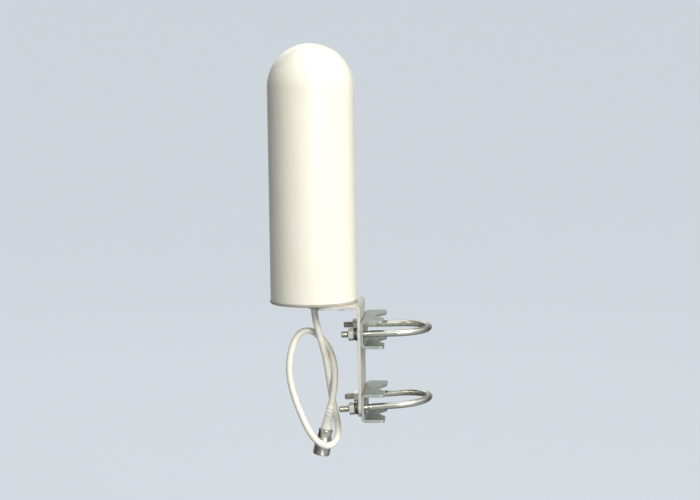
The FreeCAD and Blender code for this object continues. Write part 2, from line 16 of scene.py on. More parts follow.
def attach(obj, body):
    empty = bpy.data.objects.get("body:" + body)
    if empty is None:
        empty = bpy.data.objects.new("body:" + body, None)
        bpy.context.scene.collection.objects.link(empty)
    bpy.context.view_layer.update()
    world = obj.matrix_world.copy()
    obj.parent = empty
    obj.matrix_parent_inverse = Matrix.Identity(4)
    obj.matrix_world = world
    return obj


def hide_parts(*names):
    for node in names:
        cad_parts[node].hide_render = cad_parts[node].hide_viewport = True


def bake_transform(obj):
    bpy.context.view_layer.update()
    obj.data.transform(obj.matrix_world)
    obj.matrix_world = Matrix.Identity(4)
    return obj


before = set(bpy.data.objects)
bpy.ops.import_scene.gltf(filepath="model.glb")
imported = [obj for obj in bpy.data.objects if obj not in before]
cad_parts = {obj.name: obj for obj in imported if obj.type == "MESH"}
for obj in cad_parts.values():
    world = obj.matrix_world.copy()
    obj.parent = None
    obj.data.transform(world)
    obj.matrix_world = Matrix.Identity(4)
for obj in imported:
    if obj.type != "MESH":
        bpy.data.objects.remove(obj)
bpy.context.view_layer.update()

MM = 0.001
TAU = 2 * math.pi

# ------------------------------------------------------------------ shared dimensions
AXIS_X = -78.6
CLAMP_Z = {"upper": 33.0, "lower": -33.0}
LEG_Y = 29.0  # U-bolt legs stand at y = -LEG_Y (front) and +LEG_Y (rear)
ARC_X = -4.8  # centre of the U-bolt bend
ROD_R = 3.0
LEG_ENDS = {"upper": (-52.0, -54.3), "lower": (-55.0, -54.2)}  # x of the front and rear leg ends
THREAD_END_X = -25.5
ROD_PITCH = 1.0
PLATE_X0 = -37.6  # the -X face of the bracket plate

# The U-bolts sit a little crooked, turned in the XZ plane about x = TILT_X.
TILT_X = -35.2
TILT = {"upper": math.radians(1.45), "lower": math.radians(4.2)}

HOLE_R = 3.2  # both kinds of washer
WASHER_T, SPRING_T, SPRING_R = 1.6, 1.6, 5.3
WASHER_X0 = PLATE_X0 - WASHER_T
SPRING_GAP = 0.005
# x of each spring washer's +X face before tilting; its tilted rim just clears the flat washer
SPRING_X1 = {
    label: TILT_X - (TILT_X - WASHER_X0 + SPRING_GAP + SPRING_R * math.sin(tilt)) / math.cos(tilt)
    for label, tilt in TILT.items()
}
NUT_T = 5.0
NUT_FLATS = 10.0  # across flats

# The connector's local +Z runs from the top of the boot to the mouth of the socket.
BOOT_TOP = Vector((-64.6, -2.0, -36.2))
CON_DIR = Vector((-0.2183, 0.0, -0.9759)).normalized()
CON_TURN = Vector((0, 0, 1)).rotation_difference(CON_DIR)
CON_ROT = CON_TURN.to_matrix()
CON_EULER = tuple(CON_TURN.inverted().to_euler())  # lines textures up with the connector

# Centre line of the pigtail (x, y, z), from the gland to the top of the boot
CABLE_PATH = [
    (-78.6, 0, 54), (-78.32, -0.1, 48.37), (-77.58, -0.29, 42.8), (-76.5, -0.5, 37.28),
    (-75.22, -0.67, 31.97), (-73.77, -0.75, 26.5), (-72.3, -0.67, 21.04), (-70.96, -0.38, 15.75),
    (-69.76, 0.18, 10.27), (-68.76, 0.99, 4.76), (-67.93, 1.9, -0.59), (-67.18, 2.89, -6.12),
    (-66.52, 3.81, -11.48), (-65.85, 4.63, -17.02), (-65.15, 5.22, -22.56),
    (-64.37, 5.49, -28.08), (-63.47, 5.34, -33.6), (-62.44, 4.71, -38.92),
    (-61.21, 3.52, -44.23), (-59.86, 1.72, -49.47), (-58.77, -0.54, -54.37),
    (-58.25, -3.34, -59.14), (-58.75, -6.63, -63.6), (-60.7, -10.22, -67.42),
    (-64.21, -13.67, -70.1), (-69.15, -15.81, -70.28), (-74.07, -15.98, -67.89),
    (-78.41, -15.04, -64.32), (-81.95, -13.52, -60.31), (-84.92, -11.67, -55.94),
    (-87.43, -9.79, -51.47), (-89.82, -7.99, -46.68), (-92.09, -6.5, -41.8),
    (-94.22, -5.28, -36.83), (-96.24, -4.27, -31.62), (-98.03, -3.46, -26.34),
    (-99.49, -2.8, -21.15), (-100.69, -2.22, -15.72), (-101.52, -1.67, -10.23),
    (-101.94, -1.11, -4.69), (-101.9, -0.48, 0.91), (-101.39, 0.24, 6.38),
    (-100.37, 1.11, 11.88), (-98.91, 2.11, 17.05), (-96.85, 3.29, 22.15), (-93.94, 4.59, 26.71),
    (-89.7, 5.94, 29.99), (-84.23, 6.99, 30.46), (-79.06, 7.37, 28.38), (-74.64, 7.22, 24.98),
    (-70.86, 6.75, 20.91), (-67.65, 6.03, 16.41), (-65.07, 5.1, 11.6), (-63.12, 4.01, 6.48),
    (-61.83, 2.85, 1.22), (-61.11, 1.68, -4.15), (-60.9, 0.58, -9.6), (-61.12, -0.4, -15.11),
    (-61.7, -1.19, -20.64), (-62.56, -1.72, -26.19), (-63.63, -1.96, -31.72),
    (-64.6, -2, -36.2),
]

# ------------------------------------------------------------------ shader helpers


class Graph:
    """Builds a node tree; a value may be a number, a tuple or another node's output."""

    def __init__(self, tree):
        self.tree = tree
        tree.nodes.clear()

    def fill(self, node, inputs):
        for key, value in inputs.items():
            socket = node.inputs[key]
            if isinstance(value, bpy.types.NodeSocket):
                self.tree.links.new(value, socket)
            elif isinstance(value, tuple) and socket.type == "RGBA":
                socket.default_value = value + (1,)
            else:
                socket.default_value = value

    def node(self, kind, inputs=None, **settings):
        made = self.tree.nodes.new(kind)
        for key, value in settings.items():
            setattr(made, key, value)
        self.fill(made, inputs or {})
        return made

    def ramp(self, fac, stops, interpolation="LINEAR"):
        """stops: (position, grey level or colour)."""
        made = self.node("ShaderNodeValToRGB", {0: fac})
        made.color_ramp.interpolation = interpolation
        elements = made.color_ramp.elements
        elements.remove(elements[-1])
        for i, (position, value) in enumerate(stops):
            element = elements.new(position) if i else elements[0]
            element.position = position
            element.color = (value if isinstance(value, tuple) else (value,) * 3) + (1,)
        return made.outputs[0]

    def mix(self, fac, first, second, blend="MIX"):
        inputs = {0: fac, 6: first, 7: second}
        return self.node("ShaderNodeMix", inputs, data_type="RGBA", blend_type=blend).outputs[2]


class Shade(Graph):
    """A Principled material with textures in object coordinates (metres)."""

    def __init__(self, name):
        self.material = bpy.data.materials.new(name)
        self.material.use_nodes = True
        super().__init__(self.material.node_tree)
        output = self.node("ShaderNodeOutputMaterial")
        self.bsdf = self.node("ShaderNodeBsdfPrincipled")
        self.fill(output, {0: self.bsdf.outputs[0]})
        self.coord = self.node("ShaderNodeTexCoord").outputs["Object"]

    def mapped(self, scale, rotation=(0, 0, 0)):
        inputs = {"Scale": scale, "Rotation": rotation, "Vector": self.coord}
        return self.node("ShaderNodeMapping", inputs).outputs[0]

    def noise(self, scale, detail=3.0, rough=0.5, vector=None):
        return self.node("ShaderNodeTexNoise", {
            "Scale": scale, "Detail": detail, "Roughness": rough,
            "Vector": self.coord if vector is None else vector,
        }).outputs["Fac"]

    def mask(self, fac, start, end):
        return self.ramp(fac, [(start, 0.0), (end, 1.0)])

    def math(self, operation, first, second, clamp=False):
        inputs = {0: first, 1: second}
        made = self.node("ShaderNodeMath", inputs, operation=operation, use_clamp=clamp)
        return made.outputs[0]

    def span(self, fac, limits):
        """Rescales 0..1 to the two limits."""
        inputs = {"To Min": limits[0], "To Max": limits[1], "Value": fac}
        return self.node("ShaderNodeMapRange", inputs).outputs[0]

    def bevel(self, radius, samples):
        return self.node("ShaderNodeBevel", {"Radius": radius}, samples=samples).outputs[0]

    def bumps(self, layers, edge=0.0):
        """layers: (height, strength, distance in metres); edge: rounding radius in metres."""
        normal = self.bevel(edge, samples=6) if edge else None
        for height, strength, distance in layers:
            inputs = {"Strength": strength, "Distance": distance, "Height": height}
            if normal is not None:
                inputs["Normal"] = normal
            normal = self.node("ShaderNodeBump", inputs).outputs[0]
        self.fill(self.bsdf, {"Normal": normal})

    def worn(self, radius):
        """1 near sharp edges, where the bevelled normal leaves the true one."""
        bevel = self.bevel(radius, samples=4)
        true_normal = self.node("ShaderNodeNewGeometry").outputs["Normal"]
        inputs = {0: bevel, 1: true_normal}
        dot = self.node("ShaderNodeVectorMath", inputs, operation="DOT_PRODUCT")
        away = self.math("SUBTRACT", 1.0, dot.outputs["Value"], clamp=True)
        gain = 6.0
        return self.math("MULTIPLY", away, gain, clamp=True)

    def finish(self, **inputs):
        """Fills Principled inputs, named with underscores for spaces."""
        self.fill(self.bsdf, {key.replace("_", " "): value for key, value in inputs.items()})
        return self.material


def scaled(color, factor):
    return tuple(min(1, c * factor) for c in color)


# ------------------------------------------------------------------ material families
# rough: lowest and highest roughness; edge: bevel radius in metres; other amounts run 0..1.


def plastic(name, color, dark, rough, peel, peel_h=0.00002, sss=0.0, streak=0.0, edge=0.0003,
            coat=0.0, grime=0.35, blotch=35.0):
    """peel, blotch: scales of the fine relief and broad stains; peel_h: relief in metres."""
    shade = Shade(name)
    broad = shade.noise(blotch, detail=4.0, rough=0.55)
    fine = shade.noise(peel, detail=2.0)
    stained = shade.ramp(broad, [(0.32, dark), (0.62, color)])
    col = shade.mix(grime, color, stained)
    if streak:  # vertical runs
        run = shade.noise(1.0, detail=5.0, rough=0.6, vector=shade.mapped((160, 160, 6)))
        runs = shade.mask(run, start=0.50, end=0.78)
        col = shade.mix(shade.math("MULTIPLY", runs, streak), col, scaled(dark, factor=0.78))
    speck = shade.mask(shade.noise(2600.0, detail=1.0, rough=0.4), start=0.70, end=0.76)
    speck_amount = 0.18
    col = shade.mix(shade.math("MULTIPLY", speck, speck_amount), col, scaled(dark, factor=0.6))
    roughness = shade.span(shade.noise(blotch * 4, detail=5.0, rough=0.6), rough)
    waves = shade.noise(blotch * 2.5, detail=2.0)
    shade.bumps([(fine, 0.35, peel_h), (waves, 0.25, 0.00005)], edge)
    if sss:
        shade.finish(Subsurface_Radius=(0.002, 0.0015, 0.001), Subsurface_Scale=0.6)
    return shade.finish(Base_Color=col, Roughness=roughness, Subsurface_Weight=sss,
                        Coat_Weight=coat, Coat_Roughness=0.2)


def zinc(name, color, dark, rough, spangle, scratch=(40, 40, 2200), edge=0.0004, stain=0.35,
         wear=0.5, metal=1.0, lumps=0.15, lines=0.10, patchy=0.35):
    """spangle: scale of the crystal cells; scratch: texture scale along each axis."""
    shade = Shade(name)
    cells = shade.node("ShaderNodeTexVoronoi", {"Scale": spangle, "Vector": shade.coord})
    grain = shade.node("ShaderNodeSeparateColor", {0: cells.outputs["Color"]}).outputs[0]
    cloud = shade.noise(60.0, detail=5.0, rough=0.6)
    col = shade.mix(shade.span(grain, (0.0, patchy)), color, dark)
    stains = shade.mask(cloud, start=0.42, end=0.70)
    col = shade.mix(shade.math("MULTIPLY", stains, stain), col, dark)
    if wear:
        bare = (0.86, 0.86, 0.83)
        worn = shade.worn(radius=0.0009)
        col = shade.mix(shade.math("MULTIPLY", worn, wear), col, bare)
    line = shade.noise(1.0, rough=0.7, vector=shade.mapped(scratch))
    scratches = shade.mask(line, start=0.44, end=0.60)
    base_rough = shade.span(grain, rough)
    scratch_rough = 0.08
    roughness = shade.math("ADD", base_rough, shade.math("MULTIPLY", scratches, scratch_rough))
    shade.bumps([
        (scratches, lines, 0.00003),
        (shade.noise(1500.0, detail=2.0), 0.2, 0.00002),
        (cloud, lumps, 0.00015),
    ], edge)
    return shade.finish(Base_Color=col, Roughness=roughness, Metallic=metal)


def turned(name, color, dark, rough, lines=5000.0, rotation=(0, 0, 0)):
    """Plated or bare turned metal: fine rings, smears, edge wear."""
    shade = Shade(name)
    smear = shade.noise(170.0, detail=4.0, rough=0.6)
    rings = shade.node("ShaderNodeTexWave", {
        "Scale": lines / TAU, "Distortion": 2.0, "Detail": 2.0,
        "Vector": shade.mapped((1, 1, 1), rotation),
    }, wave_type="BANDS", bands_direction="Z").outputs["Fac"]
    col = shade.mix(shade.ramp(smear, [(0.40, 0.0), (0.72, 0.6)]), color, dark)
    wear = 0.4
    worn = shade.math("MULTIPLY", shade.worn(radius=0.0006), wear)
    col = shade.mix(worn, col, scaled(color, factor=1.15))
    fine = shade.noise(1200.0, detail=2.0)
    shade.bumps([(rings, 0.06, 0.00002), (fine, 0.08, 0.00002)], edge=0.00025)
    return shade.finish(Base_Color=col, Roughness=shade.span(smear, rough), Metallic=1.0)


def rubber(name):
    shade = Shade(name)
    cloud = shade.noise(400.0, detail=4.0, rough=0.6)
    shade.bumps([(shade.noise(2500.0, detail=2.0), 0.3, 0.00003)], edge=0.0003)
    return shade.finish(Base_Color=shade.mix(cloud, (0.018, 0.018, 0.02), (0.05, 0.048, 0.045)),
                        Roughness=shade.span(cloud, (0.55, 0.85)))


# ------------------------------------------------------------------ materials
MATERIALS = {
    "ivory": plastic("ivory_shell", color=(0.865, 0.83, 0.705), dark=(0.79, 0.75, 0.61),
                     rough=(0.24, 0.36), peel=700.0, sss=0.05, streak=0.10, edge=0.0,
                     coat=0.25, grime=0.30, blotch=18.0),
    "cap": plastic("cap_plastic", color=(0.42, 0.385, 0.33), dark=(0.30, 0.275, 0.235),
                   rough=(0.45, 0.62), peel=1100.0, peel_h=0.00003, grime=0.6),
    "cable": plastic("cable_sheath", color=(0.88, 0.855, 0.755), dark=(0.74, 0.70, 0.59),
                     rough=(0.30, 0.46), peel=1400.0, sss=0.08, edge=0.0, grime=0.5,
                     blotch=70.0),
    "boot": plastic("boot_moulding", color=(0.90, 0.875, 0.785), dark=(0.80, 0.77, 0.66),
                    rough=(0.42, 0.58), peel=1600.0, sss=0.08, edge=0.0002, grime=0.4,
                    blotch=90.0),
    "abs": plastic("natural_abs", color=(0.78, 0.76, 0.68), dark=(0.66, 0.63, 0.54),
                   rough=(0.40, 0.60), peel=900.0),
    "ptfe": plastic("white_ptfe", color=(0.88, 0.88, 0.86), dark=(0.78, 0.78, 0.76),
                    rough=(0.30, 0.48), peel=1200.0, sss=0.15),
    "foam": plastic("foam_ring", color=(0.74, 0.74, 0.71), dark=(0.60, 0.60, 0.57),
                    rough=(0.75, 0.95), peel=1800.0, peel_h=0.0003),
    "zinc": zinc("bracket_zinc", color=(0.80, 0.785, 0.71), dark=(0.66, 0.645, 0.57),
                 rough=(0.28, 0.44), spangle=260.0, metal=0.62, lumps=0.04),
    "galv": zinc("saddle_galvanised", color=(0.52, 0.55, 0.51), dark=(0.36, 0.39, 0.36),
                 rough=(0.34, 0.58), spangle=330.0, scratch=(30, 900, 30), stain=0.5,
                 lumps=0.08),
    "rod": zinc("rod_bright_zinc", color=(0.70, 0.70, 0.61), dark=(0.56, 0.56, 0.47),
                rough=(0.20, 0.27), spangle=500.0, scratch=(25, 1500, 1500), edge=0.0,
                stain=0.25, wear=0.0, lumps=0.06, lines=0.04, patchy=0.25),
    "nut": zinc("nut_zinc", color=(0.84, 0.82, 0.74), dark=(0.68, 0.66, 0.58),
                rough=(0.20, 0.28), spangle=420.0, scratch=(900, 60, 60), edge=0.0002,
                stain=0.2, wear=0.0, lumps=0.04, lines=0.02, patchy=0.2, metal=0.7),
    # painted shade: both washers get a near-black colour, far darker than their zinc and steel, to
    # stand in for the shade they sit in between nut and plate
    "washer": zinc("washer_zinc_painted_shade", color=(0.20, 0.20, 0.18), dark=(0.11, 0.11, 0.10),
                   rough=(0.30, 0.50), spangle=700.0, scratch=(60, 900, 900), edge=0.0002,
                   stain=0.5, wear=0.3),
    "spring": zinc("spring_steel_painted_shade", color=(0.10, 0.10, 0.098), dark=(0.05, 0.05, 0.048),
                   rough=(0.34, 0.55), spangle=700.0, scratch=(60, 900, 900), edge=0.0002,
                   stain=0.5, wear=0.3),
    "stainless": turned("stainless_screws", color=(0.62, 0.61, 0.59), dark=(0.45, 0.44, 0.42),
                        rough=(0.18, 0.36)),
    "nickel": turned("nickel_plate", color=(0.80, 0.78, 0.73), dark=(0.56, 0.54, 0.50),
                     rough=(0.13, 0.27), rotation=CON_EULER),
    "nickel_v": turned("nickel_gland", color=(0.70, 0.68, 0.63), dark=(0.48, 0.46, 0.42),
                       rough=(0.12, 0.28)),
    "brass": turned("brass_sheet", color=(0.80, 0.60, 0.28), dark=(0.56, 0.39, 0.17),
                    rough=(0.20, 0.42), lines=2500.0),
    "gold": turned("gold_contact", color=(0.90, 0.68, 0.30), dark=(0.70, 0.50, 0.20),
                   rough=(0.12, 0.25), rotation=CON_EULER),
    "rubber": rubber("black_rubber"),
}

NODE_MATERIAL = {
    "radome": "ivory", "base_cap": "cap", "base_seal_ring": "rubber",
    "radome_screws": "stainless", "base_inserts": "brass", "bracket": "zinc",
    "bracket_bolts": "stainless", "cable_gland": "nickel_v", "gland_seal": "rubber",
    "gland_locknut": "nickel_v", "feed_cable": "cable", "radiator_stand": "abs",
    "stand_screws": "stainless", "ground_sleeve": "brass", "radiator_screws": "stainless",
    "feed_insulator": "ptfe", "feed_pin": "brass", "radiator_cone": "brass",
    "top_spacer": "foam", "upper_saddle": "galv", "lower_saddle": "galv",
    "upper_u_bolt": "rod", "lower_u_bolt": "rod", "upper_nut_front": "nut",
    "upper_nut_rear": "nut", "lower_nut_front": "nut", "lower_nut_rear": "nut",
    "flat_washers": "washer", "spring_washers": "spring", "pigtail_cable": "cable",
    "connector_boot": "boot", "crimp_ferrule": "nickel", "connector_rear_nut": "nickel",
    "connector_body": "nickel", "connector_insulator": "ptfe", "connector_contact": "gold",
}
for node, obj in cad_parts.items():
    obj.data.materials.clear()
    obj.data.materials.append(MATERIALS[NODE_MATERIAL[node]])

# ------------------------------------------------------------------ mesh helpers
# A mesh is a pair (vertices, faces).


def mesh_object(name, mesh, material, body=None, node=None, sharp=35.0):
    """Smooth shaded, with edges above `sharp` degrees kept hard."""
    verts, faces = mesh
    data = bpy.data.meshes.new(name)
    data.from_pydata([tuple(float(c) * MM for c in v) for v in verts], [], faces)
    data.validate()
    bm = bmesh.new()
    bm.from_mesh(data)
    bmesh.ops.remove_doubles(bm, verts=bm.verts, dist=1e-7)
    bmesh.ops.recalc_face_normals(bm, faces=bm.faces)
    for edge in bm.edges:
        if len(edge.link_faces) == 2 and edge.calc_face_angle(0) > math.radians(sharp):
            edge.smooth = False
    for face in bm.faces:
        face.smooth = True
    bm.to_mesh(data)
    bm.free()
    data.materials.append(material)
    made = bpy.data.objects.new(name, data)
    bpy.context.scene.collection.objects.link(made)
    if body:
        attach(made, body)
    if node:
        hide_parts(node)
    return made


def grid_faces(rows, cols, close_rows=False):
    """Quads between rings of `cols` vertices; close_rows joins the last ring to the first."""
    faces = []
    for i in range(rows if close_rows else rows - 1):
        this, after = i * cols, ((i + 1) % rows) * cols
        for j in range(cols):
            k = (j + 1) % cols
            faces.append((this + j, this + k, after + k, after + j))
    return faces


def capped_faces(rows, cols):
    """grid_faces with a flat cap over the first and the last ring."""
    last = (rows - 1) * cols
    caps = [tuple(range(cols)), tuple(last + j for j in reversed(range(cols)))]
    return grid_faces(rows, cols) + caps


def joined(meshes):
    verts, faces = [], []
    for part_verts, part_faces in meshes:
        faces += [tuple(i + len(verts) for i in face) for face in part_faces]
        verts += part_verts
    return verts, faces


def lathe(outline, place, segments):
    """outline: closed list of (radius, height); a radius may be a function of the angle."""
    verts = []
    for radius, height in outline:
        for j in range(segments):
            angle = TAU * j / segments
            r = radius(angle) if callable(radius) else radius
            verts.append(place(Vector((r * math.cos(angle), r * math.sin(angle), height))))
    return verts, grid_faces(len(outline), segments, close_rows=True)


def rounded(outline, radius, steps=3):
    """Rounds every corner of a closed outline of (radius, height) pairs."""
    points = []
    for i in range(len(outline)):
        corner = Vector(outline[i])
        back = Vector(outline[i - 1]) - corner
        ahead = Vector(outline[(i + 1) % len(outline)]) - corner
        cut = min(radius, back.length * 0.45, ahead.length * 0.45)
        start = corner + back.normalized() * cut
        end = corner + ahead.normalized() * cut
        for step in range(steps + 1):
            f = step / steps
            points.append(tuple(start * (1 - f) ** 2 + corner * 2 * f * (1 - f) + end * f * f))
    return points


def around(centre, normal, binormal, radius, angle):
    return centre + normal * (radius * math.cos(angle)) + binormal * (radius * math.sin(angle))


def upright(x, y):
    return lambda p: Vector((p.x + x, p.y + y, p.z))


def on_connector(p):
    return BOOT_TOP + CON_ROT @ p


def along_x(x0, y, z):
    """Local +Z becomes +X, local +X becomes +Y."""
    return lambda p: Vector((x0 + p.z, y + p.x, z + p.y))


def tilted(label, place):
    """place, then turned into line with the crooked U-bolt of that clamp."""
    sin, cos = math.sin(TILT[label]), math.cos(TILT[label])
    z0 = CLAMP_Z[label]

    def moved(p):
        q = place(p)
        dx, dz = q.x - TILT_X, q.z - z0
        return Vector((TILT_X + dx * cos - dz * sin, q.y, z0 + dx * sin + dz * cos))
    return moved


def thread_wave(turns):
    """0 at the crest, 1 at the root, with slightly rounded flanks; repeats every turn."""
    crest, root = 0.14, 0.22  # widths in turns
    flank = (1 - crest - root) / 2
    turn = turns - math.floor(turns)
    f = min(1.0, max(0.0, (min(turn, 1 - turn) - crest / 2) / flank))
    return f * f * (3 - 2 * f) * 0.35 + f * 0.65


# ------------------------------------------------------------------ radome
WALL = 2.5
FOOT_R, DOME_R = 39.0, 38.5  # the wall tapers from the foot to the dome
FOOT_Z, TOP_Z = 60.3, 288.8
DOME_Z = TOP_Z - DOME_R


def radome_shell():
    outline = [(FOOT_R - 0.35, FOOT_Z), (FOOT_R - 0.10, FOOT_Z + 0.10),
               (FOOT_R, FOOT_Z + 0.35), (FOOT_R, FOOT_Z + 1.2)]
    outline += [(FOOT_R + (DOME_R - FOOT_R) * f, FOOT_Z + (DOME_Z - FOOT_Z) * f)
                for f in (0.05, 0.12, 0.2, 0.3, 0.4, 0.5, 0.6, 0.7, 0.8, 0.88, 0.94, 0.98)]
    for i in range(48):
        angle = math.pi / 2 * i / 48
        outline.append((DOME_R * math.cos(angle), DOME_Z + DOME_R * math.sin(angle)))
    inner_r = DOME_R - WALL
    outline += [(0.0, TOP_Z), (0.0, DOME_Z + inner_r)]
    for i in range(23, -1, -1):
        angle = math.pi / 2 * i / 24
        outline.append((inner_r * math.cos(angle), DOME_Z + inner_r * math.sin(angle)))
    bore = FOOT_R - WALL
    outline += [(bore, FOOT_Z + 8), (bore, FOOT_Z + 0.3), (bore + 0.3, FOOT_Z)]

    segments = 192
    verts = []
    for radius, z in outline:
        # out of round by a few hundredths, but for the dome's poles and the straight bore
        uneven = radius > (36.6 if z < DOME_Z else 1.0)
        for j in range(segments):
            angle = TAU * j / segments
            r = radius
            if uneven:
                r += 0.03 * math.sin(2 * angle + 0.6) + 0.02 * math.sin(3 * angle + z * 0.02)
            verts.append((AXIS_X + r * math.cos(angle), r * math.sin(angle), z))
    mesh = verts, grid_faces(len(outline), segments, close_rows=True)
    mesh_object("radome_shell", mesh, MATERIALS["ivory"], "antenna", "radome", sharp=50)


def radome_bosses():
    """Three hollow screw bosses inside the shell."""
    circle_r = 31.4
    # (radius, z)
    outline = [(1.55, 72.3), (4.9, 72.3), (4.9, 86.7), (2.0, 93.5), (1.55, 93.5)]
    parts = []
    for degrees in (60.0, 180.0, 300.0):
        angle = math.radians(degrees)
        place = upright(AXIS_X + circle_r * math.cos(angle), circle_r * math.sin(angle))
        parts.append(lathe(rounded(outline, 0.4), place, segments=32))
    bosses = mesh_object("radome_bosses", joined(parts), MATERIALS["ivory"], "antenna")


radome_shell()
radome_bosses()

# ------------------------------------------------------------------ U-bolts


def u_bolt(label):
    """A bent rod swept from the front leg's end to the rear leg's end."""
    z = CLAMP_Z[label]
    front_end, rear_end = LEG_ENDS[label]
    front_leg, rear_leg = ARC_X - front_end, ARC_X - rear_end
    bend = math.pi * LEG_Y
    total = front_leg + bend + rear_leg
    cols = 48

    def nearer_end(along):
        """Distance to the nearer rod end, and the length of thread on that leg."""
        if along < total / 2:
            return along, THREAD_END_X - front_end
        return total - along, THREAD_END_X - rear_end

    stations = []
    along = 0.0
    while along < total - 1e-6:
        stations.append(along)
        to_end, thread = nearer_end(along)
        if to_end < thread + 0.3:
            along += 1.0 / 12
        else:
            along += 1.2 if to_end < front_leg - 1 else 0.9
    stations.append(total)

    place = tilted(label, lambda p: p)
    verts = []
    for along in stations:
        if along <= front_leg:
            centre = Vector((front_end + along, -LEG_Y, z))
            tangent = Vector((1, 0, 0))
        elif along <= front_leg + bend:
            angle = (along - front_leg) / LEG_Y - math.pi / 2
            centre = Vector((ARC_X + LEG_Y * math.cos(angle), LEG_Y * math.sin(angle), z))
            tangent = Vector((-math.sin(angle), math.cos(angle), 0))
        else:
            centre = Vector((ARC_X - (along - front_leg - bend), LEG_Y, z))
            tangent = Vector((-1, 0, 0))
        normal = Vector((0, 0, 1)).cross(tangent)
        binormal = tangent.cross(normal)
        to_end, thread = nearer_end(along)
        fade = min(1.0, max(0.0, (thread - to_end) / 2.0))  # the thread runs out over 2 mm
        for j in range(cols):
            angle = TAU * j / cols
            r = ROD_R - 0.02
            if fade > 0:
                r -= 0.58 * fade * thread_wave(along / ROD_PITCH - angle / TAU)
            if to_end < 0.9:  # end chamfer
                r = min(r, ROD_R - 0.85 + to_end * 0.95)
            if to_end >= thread:  # the plain rod is slightly out of round
                r += 0.015 * math.sin(3 * angle + along * 0.05)
            verts.append(place(around(centre, normal, binormal, r, angle)))

    # each end: an inner ring and a centre point set 0.12 in
    faces = grid_faces(len(stations), cols)
    for start in (0, (len(stations) - 1) * cols):
        base = len(verts)
        rim = verts[start:start + cols]
        centre = sum(rim, Vector((0, 0, 0))) / cols
        verts += [centre + (v - centre) * 0.55 for v in rim]
        verts.append(centre + Vector((0.12, 0, 0)))
        for j in range(cols):
            k = (j + 1) % cols
            faces.append((start + j, start + k, base + k, base + j))
            faces.append((base + j, base + k, base + cols))
    mesh_object(f"u_bolt_rod_{label}", (verts, faces), MATERIALS["rod"], f"{label}_u_bolt",
                f"{label}_u_bolt", sharp=60)


for label in CLAMP_Z:
    u_bolt(label)

# ------------------------------------------------------------------ nuts


def nut(label, end, y):
    """A hexagon nut with both faces chamfered; two flats face -Y and +Y."""
    cols = 180
    apothem = NUT_FLATS / 2
    face_r = apothem - 0.25
    corner_r = apothem / math.cos(math.radians(30)) - 0.16
    columns = []
    for j in range(cols):
        angle = TAU * j / cols
        off_flat = (math.degrees(angle) + 30) % 60 - 30
        hex_r = min(apothem / math.cos(math.radians(off_flat)), corner_r)
        rise = (hex_r - face_r) * math.tan(math.radians(28))
        # (radius, height) from the bore to the side
        half = [(3.03, 0.45), (3.12, 0.22), (3.38, 0.02), (3.60, 0.0), (face_r - 0.1, 0.0),
                (face_r, 0.03), (hex_r - 0.08, rise), (hex_r, rise + 0.10)]
        outline = half + [(hex_r, NUT_T * 0.5)] + [(r, NUT_T - h) for r, h in reversed(half)]
        columns.append([(r * math.cos(angle), r * math.sin(angle), h) for r, h in outline])
    place = tilted(label, along_x(SPRING_X1[label] - SPRING_T - NUT_T, y, CLAMP_Z[label]))
    verts = [place(Vector(point)) for row in zip(*columns) for point in row]
    faces = grid_faces(len(columns[0]), cols, close_rows=True)
    node = f"{label}_nut_{end}"
    mesh_object(f"hex_{label}_{end}", (verts, faces), MATERIALS["nut"], node, node, sharp=24)


for label in CLAMP_Z:
    nut(label, "front", -LEG_Y)
    nut(label, "rear", LEG_Y)

# ------------------------------------------------------------------ washers


def flat_washer(label, y):
    """Flat on the plate, centred where the crooked rod passes through it."""
    outer_r, height = 6.0, 1.58
    z = CLAMP_Z[label] + (WASHER_X0 + WASHER_T / 2 - TILT_X) * math.tan(TILT[label])
    outline = [(HOLE_R, 0.0), (outer_r, 0.0), (outer_r, height), (HOLE_R, height)]
    return lathe(rounded(outline, 0.28, steps=4), along_x(WASHER_X0, y, z), segments=72)


def split_washer(label, y):
    """A split ring, its two ends a little out of line."""
    low, high = 0.05, 1.5
    section = rounded([(HOLE_R, low), (SPRING_R, low), (SPRING_R, high), (HOLE_R, high)], 0.18)
    place = tilted(label, along_x(SPRING_X1[label] - SPRING_T, y, CLAMP_Z[label]))
    steps = 72
    gap = math.radians(12)
    verts = []
    for i in range(steps + 1):
        angle = math.radians(90) + gap / 2 + (TAU - gap) * i / steps
        lift = 0.045 * (2 * i / steps - 1)
        for r, h in section:
            verts.append(place(Vector((r * math.cos(angle), r * math.sin(angle), h + lift))))
    return verts, capped_faces(steps + 1, len(section))


SEATS = [(label, y) for label in CLAMP_Z for y in (LEG_Y, -LEG_Y)]
for name, make, material, node in (
    ("plain_washers", flat_washer, "washer", "flat_washers"),
    ("split_washers", split_washer, "spring", "spring_washers"),
):
    mesh = joined(make(label, y) for label, y in SEATS)
    mesh_object(name, mesh, MATERIALS[material], "antenna", node, sharp=40)

# ------------------------------------------------------------------ cable


